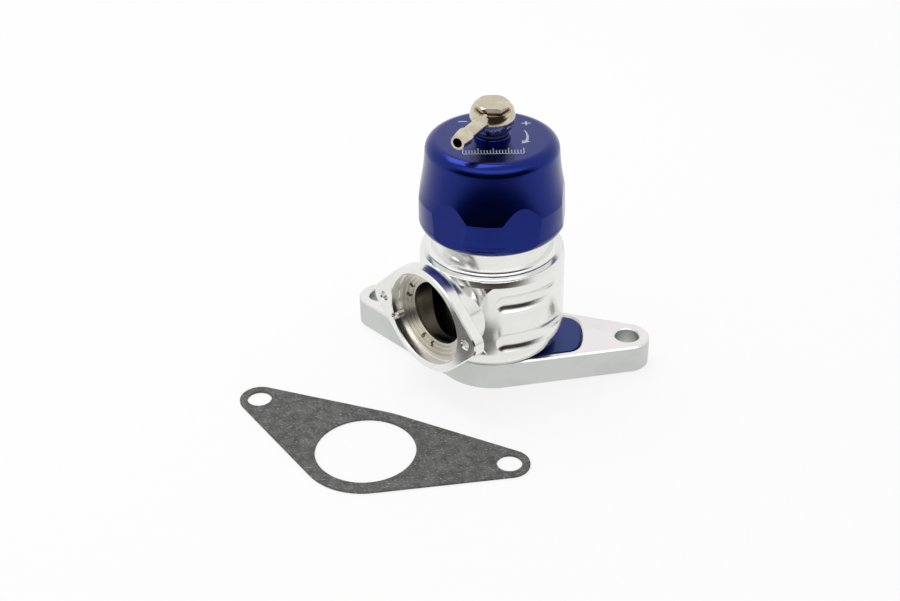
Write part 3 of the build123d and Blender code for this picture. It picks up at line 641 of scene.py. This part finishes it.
# %% [markdown]
# ## The studio
# The valve stands on a white table in a white tent, with a dark room in front of it, behind the
# camera. Polished metal is a mirror, so that room is most of its look: the upright walls mirror
# the white table, and every edge that leans back mirrors the dark room for a moment, and then the
# bright panel that hangs above it. The world gives that room to glossy rays only, and gives the
# camera plain white. The table grows dark for glossy rays in the same way, away from the valve.

# %% Build the world
camera_side = Vector((sin(camera_azimuth), -cos(camera_azimuth), 0))
room_white = (0.93, 0.93, 0.93, 1.0)
room_dark = linear(52, 44, 38)
room_grey = (0.8, 0.8, 0.8, 1.0)
plain_white = (1.0, 1.0, 1.0, 1.0)
front_begins = 0.15
front_full = 0.6
dark_to = 0.3
dark_ends = 0.5
panel_low = 0.5
panel_high = 0.8
panel_edge = 0.08
panel_gain = 1.0
world = bpy.data.worlds.new("studio")
bpy.context.scene.world = world
world.use_nodes = True
tree = world.node_tree
tree.nodes.clear()
direction = add_node(tree, "ShaderNodeTexCoord").outputs["Generated"]
height = add_node(tree, "ShaderNodeSeparateXYZ", Vector=direction).outputs["Z"]
towards = add_node(tree, "ShaderNodeVectorMath", {"operation": "DOT_PRODUCT"}, in0=direction,
                   in1=tuple(camera_side)).outputs["Value"]
in_front = smooth(tree, towards, front_begins, front_full)
low_down = smooth(tree, height, dark_to, dark_ends, 1.0, 0.0)
darkness = maths(tree, "MULTIPLY", in_front, low_down)
room = blend_colours(tree, darkness, room_white, room_dark)
rays = add_node(tree, "ShaderNodeLightPath")
seen = blend_colours(tree, rays.outputs["Is Glossy Ray"], room_grey, room)
white = blend_colours(tree, rays.outputs["Is Camera Ray"], seen, plain_white)
panel = maths(tree, "MULTIPLY", smooth(tree, height, panel_low, panel_low + panel_edge),
              smooth(tree, height, panel_high, panel_high + panel_edge, 1.0, 0.0))
panel = maths(tree, "MULTIPLY", maths(tree, "MULTIPLY", panel, in_front), rays.outputs["Is Glossy Ray"])
strength = maths(tree, "MULTIPLY_ADD", panel, panel_gain, 1.0)
background = add_node(tree, "ShaderNodeBackground", Color=white, Strength=strength)
output = tree.nodes.new("ShaderNodeOutputWorld")
tree.links.new(background.outputs[0], output.inputs[0])
print("world:", world.name)

# %% The table and the softbox
table_reach = 2.5
table_near = 0.125
table_far = 0.3
table_drop = 0.0002
table_glow = 0.8
table_paint = (0.86, 0.86, 0.86, 1.0)
table_mesh = bpy.data.meshes.new("table")
table_shape = bmesh.new()
bmesh.ops.create_grid(table_shape, x_segments=1, y_segments=1, size=table_reach)
table_shape.to_mesh(table_mesh)
table_shape.free()
table = bpy.data.objects.new("table", table_mesh)
bpy.context.scene.collection.objects.link(table)
table.location.z = -table_drop

table_material = bpy.data.materials.new("white table")
table_material.use_nodes = True
tree = table_material.node_tree
tree.nodes.clear()
place = add_node(tree, "ShaderNodeTexCoord").outputs["Object"]
out_front = add_node(tree, "ShaderNodeVectorMath", {"operation": "DOT_PRODUCT"}, in0=place,
                     in1=tuple(camera_side)).outputs["Value"]
mirrored = blend_colours(tree, smooth(tree, out_front, table_near, table_far), room_white, room_dark)
rays = add_node(tree, "ShaderNodeLightPath")
paint = add_node(tree, "ShaderNodeBsdfDiffuse", Color=table_paint)
glow = add_node(tree, "ShaderNodeEmission", Color=plain_white, Strength=1.0)
mirror_glow = add_node(tree, "ShaderNodeEmission", Color=mirrored, Strength=1.0)
nearly_white = add_node(tree, "ShaderNodeMixShader", in0=table_glow, in1=paint.outputs[0],
                        in2=glow.outputs[0])
for_glossy = add_node(tree, "ShaderNodeMixShader", in0=rays.outputs["Is Glossy Ray"],
                      in1=paint.outputs[0], in2=mirror_glow.outputs[0])
for_camera = add_node(tree, "ShaderNodeMixShader", in0=rays.outputs["Is Camera Ray"],
                      in1=for_glossy.outputs[0], in2=nearly_white.outputs[0])
output = tree.nodes.new("ShaderNodeOutputMaterial")
tree.links.new(for_camera.outputs[0], output.inputs[0])
table_mesh.materials.append(table_material)


def softbox(name, location, target, size, power):
    """A square area light that points at a place."""
    data = bpy.data.lights.new(name, "AREA")
    data.size = size
    data.energy = power
    lamp = bpy.data.objects.new(name, data)
    lamp.location = location
    aim = Vector(target) - Vector(location)
    lamp.rotation_euler = aim.to_track_quat("-Z", "Y").to_euler()
    bpy.context.scene.collection.objects.link(lamp)
    return lamp


softbox_place = (-0.25, 0.1, 0.75)
softbox_target = (0, 0, 0.04)
softbox_size = 0.5
softbox_power = 2.2
overhead = softbox("overhead softbox", softbox_place, softbox_target, softbox_size, softbox_power)
print("lamps:", overhead.name)
